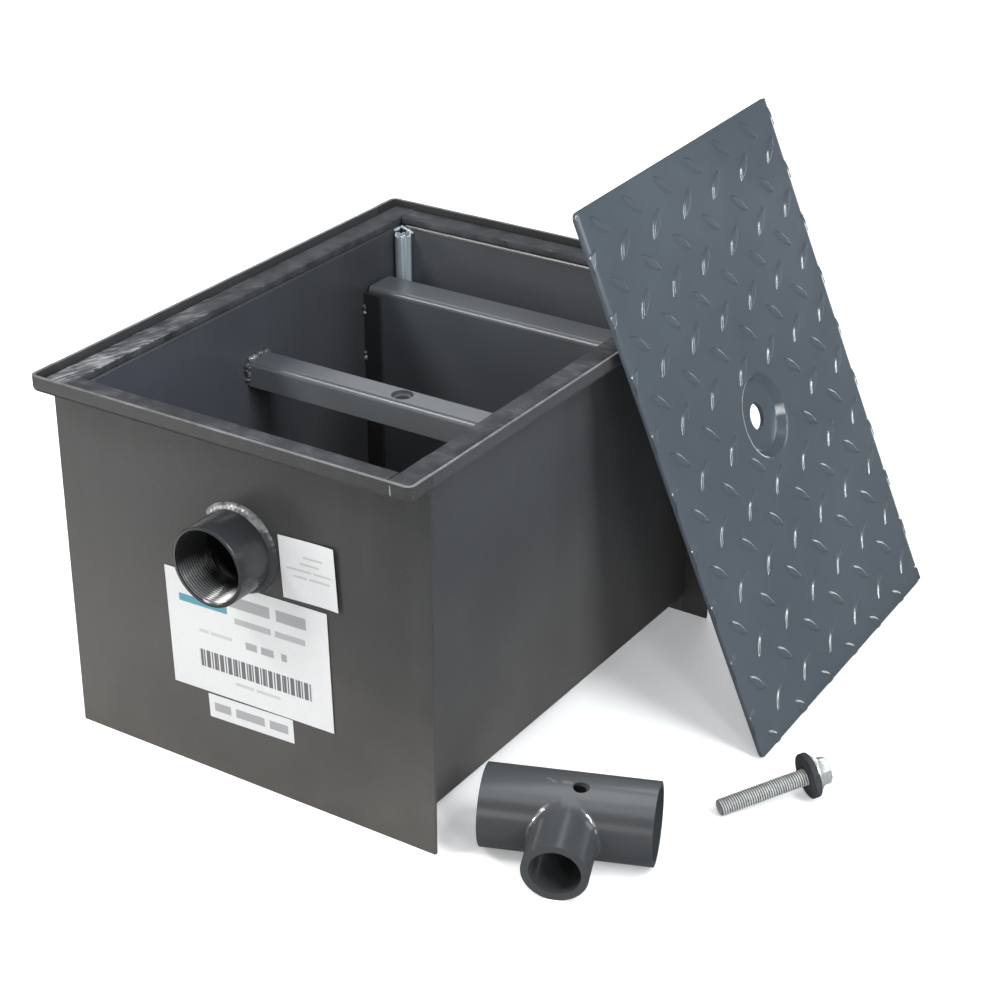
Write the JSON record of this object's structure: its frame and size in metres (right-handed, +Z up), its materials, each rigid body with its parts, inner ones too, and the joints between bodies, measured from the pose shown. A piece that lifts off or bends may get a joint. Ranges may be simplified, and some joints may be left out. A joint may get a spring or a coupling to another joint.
{
  "type": "grease trap",
  "caption": "Under-sink grease trap: open welded steel tank with pipe couplings, lift-out baffles and crossbar; its bolted tread-plate cover leans on the rim beside a tee and a bolt.",
  "frame": {"origin": "middle of the outlet end plate's lower edge, on the floor and on the plate's outer face", "axes": "+Z up, +Y along the tank from the outlet to the inlet, +X to the right seen from the outlet side"},
  "size_m": [0.4946, 0.5487, 0.3738],
  "materials": {
    "tank_paint": "satin charcoal paint",
    "cover_paint": "satin charcoal paint, bluish",
    "fitting_paint": "satin charcoal paint, scratched",
    "bare_weld": "weld bead under thin paint",
    "zinc": "bright zinc plating",
    "rubber": "matt black"
  },
  "bodies": {
    "tank": {"tank_wrap": "tank_paint", "outlet_end_plate": "tank_paint", "inlet_end_plate": "tank_paint", "outlet_coupling": "tank_paint", "inlet_coupling": "tank_paint", "crossbar": "tank_paint", "inlet_guide_left": "tank_paint", "inlet_guide_right": "tank_paint", "outlet_guide_left": "tank_paint", "outlet_guide_right": "tank_paint", "cover_plate": "cover_paint", "flow_control_run": "fitting_paint", "flow_control_branch": "fitting_paint", "flow_control_weld": "fitting_paint", "outlet_coupling_weld": "bare_weld", "inlet_coupling_weld": "bare_weld", "crossbar_welds": "bare_weld", "crossbar_nut": "zinc", "cover_bolt": "zinc", "air_relief_tube": "zinc", "orifice_plate": "zinc", "gasket_left": "rubber", "gasket_right": "rubber", "gasket_front": "rubber", "gasket_back": "rubber", "sealing_washer": "rubber"},
    "inlet_baffle": {"inlet_baffle": "tank_paint"},
    "outlet_baffle": {"outlet_baffle": "tank_paint"}
  },
  "joints": [
    {"name": "inlet_baffle_lift", "type": "slide", "parent": "tank", "child": "inlet_baffle", "axis": [0, 0, 1], "range_m": [0, 0.085]},
    {"name": "outlet_baffle_lift", "type": "slide", "parent": "tank", "child": "outlet_baffle", "axis": [0, 0, 1], "range_m": [0, 0.15]}
  ]
}
